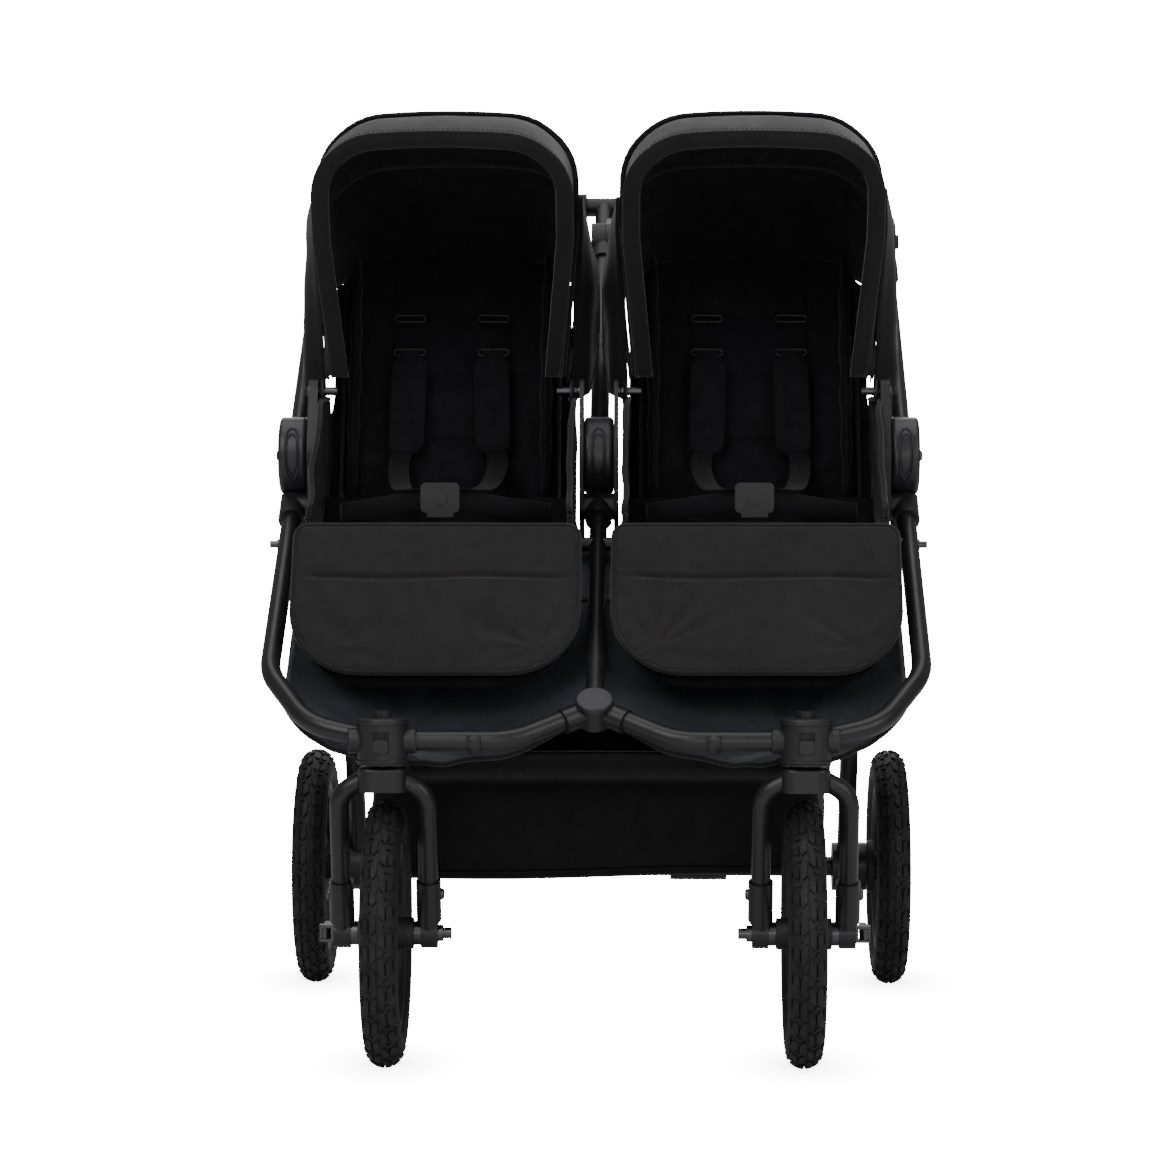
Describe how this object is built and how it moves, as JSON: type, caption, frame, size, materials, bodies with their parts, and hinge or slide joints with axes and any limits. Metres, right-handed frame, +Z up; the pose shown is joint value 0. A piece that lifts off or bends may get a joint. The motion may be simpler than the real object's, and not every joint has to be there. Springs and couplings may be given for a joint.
{
  "type": "double jogging stroller",
  "caption": "Side-by-side twin jogging stroller with air-filled wheels, swivelling front forks, a folding handle, reclining seats, leg rests, canopies and a basket.",
  "frame": {"origin": "on the ground under the middle of the stroller's box", "axes": "+Z up, the longest way; X across the stroller, the shortest way; the children face -Y"},
  "size_m": [0.756, 0.9633, 1.0566],
  "materials": {
    "frame_metal": "satin black powder coat",
    "moulding": "fine-grained moulded nylon",
    "steel": "black oxide steel",
    "grip_foam": "soft foam",
    "tyre_rubber": "matt moulded rubber",
    "canopy_fabric": "tight plain weave, matt",
    "seat_fabric": "soft quilted weave",
    "pad_fabric": "quilted twill with piping",
    "footwell_fabric": "coated weave, half glossy",
    "basket_fabric": "thin gathered weave",
    "board": "stiffener board"
  },
  "bodies": {
    "chassis": {"frame_tubes": "frame_metal", "centre_joint": "frame_metal", "centre_cap": "moulding", "steering_heads": "moulding", "hub_brackets": "moulding", "frame_fasteners": "steel", "seat_frame": "frame_metal", "seat_bases": "seat_fabric", "seat_sides": "seat_fabric", "harness_buckles": "moulding", "canopy_rears": "canopy_fabric", "footwell": "footwell_fabric", "basket": "basket_fabric", "basket_rail": "frame_metal"},
    "handle": {"handle_uprights": "frame_metal", "hub_covers": "moulding", "tilt_housings": "moulding"},
    "handlebar": {"handlebar": "frame_metal", "handle_grips": "grip_foam"},
    "rear_frame": {"rear_legs": "frame_metal", "rear_axle_beam": "frame_metal", "axle_caps": "steel"},
    "brake_pedal": {"brake_pedal": "moulding"},
    "tilt_button_left": {"tilt_button_left": "moulding"},
    "fold_trigger_left": {"fold_trigger_left": "moulding"},
    "canopy_middle_left": {"canopy_middle_left": "canopy_fabric"},
    "canopy_front_left": {"canopy_front_left": "canopy_fabric"},
    "backrest_left": {"backrest_board_left": "board", "backrest_pad_left": "seat_fabric"},
    "leg_rest_left": {"leg_rest_board_left": "board", "leg_rest_pad_left": "pad_fabric"},
    "buckle_button_left": {"buckle_button_left": "moulding"},
    "swivel_lock_left": {"swivel_lock_left": "moulding"},
    "swivel_left": {"fork_left": "frame_metal", "front_axle_left": "steel"},
    "quick_release_left": {"quick_release_left": "steel"},
    "front_wheel_left": {"front_wheel_left": "moulding", "front_tyre_left": "tyre_rubber"},
    "rear_wheel_left": {"rear_wheel_left": "moulding", "rear_tyre_left": "tyre_rubber"},
    "brake_pin_left": {"brake_pin_left": "steel"},
    "tilt_button_right": {"tilt_button_right": "moulding"},
    "fold_trigger_right": {"fold_trigger_right": "moulding"},
    "canopy_middle_right": {"canopy_middle_right": "canopy_fabric"},
    "canopy_front_right": {"canopy_front_right": "canopy_fabric"},
    "backrest_right": {"backrest_board_right": "board", "backrest_pad_right": "seat_fabric"},
    "leg_rest_right": {"leg_rest_board_right": "board", "leg_rest_pad_right": "pad_fabric"},
    "buckle_button_right": {"buckle_button_right": "moulding"},
    "swivel_lock_right": {"swivel_lock_right": "moulding"},
    "swivel_right": {"fork_right": "frame_metal", "front_axle_right": "steel"},
    "quick_release_right": {"quick_release_right": "steel"},
    "front_wheel_right": {"front_wheel_right": "moulding", "front_tyre_right": "tyre_rubber"},
    "rear_wheel_right": {"rear_wheel_right": "moulding", "rear_tyre_right": "tyre_rubber"},
    "brake_pin_right": {"brake_pin_right": "steel"}
  },
  "joints": [
    {"name": "fold", "type": "hinge", "parent": "chassis", "child": "handle", "pos_m": [0, -0.00567, 0.66], "axis": [1, 0, 0], "range_deg": [0, 178]},
    {"name": "rear_leg_fold", "type": "hinge", "parent": "chassis", "child": "rear_frame", "pos_m": [0, 0.02933, 0.605], "axis": [1, 0, 0], "range_deg": [-46.1, 0]},
    {"name": "handlebar_tilt", "type": "hinge", "parent": "handle", "child": "handlebar", "pos_m": [0, 0.3932, 0.92702], "axis": [1, 0, 0], "range_deg": [-30, 30]},
    {"name": "brake_pedal_press", "type": "hinge", "parent": "rear_frame", "child": "brake_pedal", "pos_m": [0, 0.28433, 0.146], "axis": [-1, 0, 0], "range_deg": [0, 25]},
    {"name": "tilt_button_press_left", "type": "slide", "parent": "handlebar", "child": "tilt_button_left", "axis": [1, 0, 0], "range_m": [0, 0.004], "stiffness_N_per_m": 400},
    {"name": "fold_trigger_pull_left", "type": "slide", "parent": "handle", "child": "fold_trigger_left", "axis": [0, -0.831, -0.5563], "range_m": [0, 0.012], "stiffness_N_per_m": 400, "springref_m": -0.002},
    {"name": "canopy_left", "type": "hinge", "parent": "chassis", "child": "canopy_middle_left", "pos_m": [0, -0.00567, 0.735], "axis": [-1, 0, 0], "range_deg": [0, 26.5]},
    {"name": "canopy_front_follow_left", "type": "hinge", "parent": "canopy_middle_left", "child": "canopy_front_left", "pos_m": [0, -0.00567, 0.735], "axis": [-1, 0, 0], "range_deg": [0, 26.6]},
    {"name": "recline_left", "type": "hinge", "parent": "chassis", "child": "backrest_left", "pos_m": [0, 0.03433, 0.555], "axis": [-1, 0, 0], "range_deg": [0, 38]},
    {"name": "leg_rest_raise_left", "type": "hinge", "parent": "chassis", "child": "leg_rest_left", "pos_m": [0, -0.19567, 0.575], "axis": [-1, 0, 0], "range_deg": [0, 55]},
    {"name": "buckle_release_left", "type": "slide", "parent": "chassis", "child": "buckle_button_left", "axis": [0, 1, 0], "range_m": [0, 0.0025], "stiffness_N_per_m": 400},
    {"name": "swivel_lock_slide_left", "type": "slide", "parent": "chassis", "child": "swivel_lock_left", "axis": [0, 0, 1], "range_m": [0, 0.008]},
    {"name": "swivel_left", "type": "hinge", "parent": "chassis", "child": "swivel_left", "pos_m": [-0.226, -0.38567, 0.359], "axis": [0, 0, 1], "continuous": true},
    {"name": "quick_release_open_left", "type": "hinge", "parent": "swivel_left", "child": "quick_release_left", "pos_m": [-0.292, -0.33567, 0.146], "axis": [0, 0, 1], "range_deg": [0, 90]},
    {"name": "front_wheel_spin_left", "type": "hinge", "parent": "swivel_left", "child": "front_wheel_left", "pos_m": [-0.226, -0.33567, 0.146], "axis": [1, 0, 0], "continuous": true},
    {"name": "rear_wheel_spin_left", "type": "hinge", "parent": "rear_frame", "child": "rear_wheel_left", "pos_m": [-0.356, 0.28433, 0.146], "axis": [1, 0, 0], "continuous": true},
    {"name": "brake_pin_slide_left", "type": "slide", "parent": "rear_frame", "child": "brake_pin_left", "axis": [-1, 0, 0], "range_m": [0, 0.0081]},
    {"name": "tilt_button_press_right", "type": "slide", "parent": "handlebar", "child": "tilt_button_right", "axis": [-1, 0, 0], "range_m": [0, 0.004], "stiffness_N_per_m": 400},
    {"name": "fold_trigger_pull_right", "type": "slide", "parent": "handle", "child": "fold_trigger_right", "axis": [0, -0.831, -0.5563], "range_m": [0, 0.012], "stiffness_N_per_m": 400, "springref_m": -0.002},
    {"name": "canopy_right", "type": "hinge", "parent": "chassis", "child": "canopy_middle_right", "pos_m": [0, -0.00567, 0.735], "axis": [-1, 0, 0], "range_deg": [0, 26.5]},
    {"name": "canopy_front_follow_right", "type": "hinge", "parent": "canopy_middle_right", "child": "canopy_front_right", "pos_m": [0, -0.00567, 0.735], "axis": [-1, 0, 0], "range_deg": [0, 26.6]},
    {"name": "recline_right", "type": "hinge", "parent": "chassis", "child": "backrest_right", "pos_m": [0, 0.03433, 0.555], "axis": [-1, 0, 0], "range_deg": [0, 38]},
    {"name": "leg_rest_raise_right", "type": "hinge", "parent": "chassis", "child": "leg_rest_right", "pos_m": [0, -0.19567, 0.575], "axis": [-1, 0, 0], "range_deg": [0, 55]},
    {"name": "buckle_release_right", "type": "slide", "parent": "chassis", "child": "buckle_button_right", "axis": [0, 1, 0], "range_m": [0, 0.0025], "stiffness_N_per_m": 400},
    {"name": "swivel_lock_slide_right", "type": "slide", "parent": "chassis", "child": "swivel_lock_right", "axis": [0, 0, 1], "range_m": [0, 0.008]},
    {"name": "swivel_right", "type": "hinge", "parent": "chassis", "child": "swivel_right", "pos_m": [0.226, -0.38567, 0.359], "axis": [0, 0, 1], "continuous": true},
    {"name": "quick_release_open_right", "type": "hinge", "parent": "swivel_right", "child": "quick_release_right", "pos_m": [0.292, -0.33567, 0.146], "axis": [0, 0, -1], "range_deg": [0, 90]},
    {"name": "front_wheel_spin_right", "type": "hinge", "parent": "swivel_right", "child": "front_wheel_right", "pos_m": [0.226, -0.33567, 0.146], "axis": [1, 0, 0], "continuous": true},
    {"name": "rear_wheel_spin_right", "type": "hinge", "parent": "rear_frame", "child": "rear_wheel_right", "pos_m": [0.356, 0.28433, 0.146], "axis": [1, 0, 0], "continuous": true},
    {"name": "brake_pin_slide_right", "type": "slide", "parent": "rear_frame", "child": "brake_pin_right", "axis": [1, 0, 0], "range_m": [0, 0.0081]}
  ],
  "couplings": [
    {"joint": "rear_leg_fold", "follows": "fold", "ratio": -0.25843},
    {"joint": "canopy_front_follow_left", "follows": "canopy_left", "ratio": 1},
    {"joint": "brake_pin_slide_left", "follows": "brake_pedal_press", "m_per_rad": 0.018335},
    {"joint": "canopy_front_follow_right", "follows": "canopy_right", "ratio": 1},
    {"joint": "brake_pin_slide_right", "follows": "brake_pedal_press", "m_per_rad": 0.018335}
  ]
}
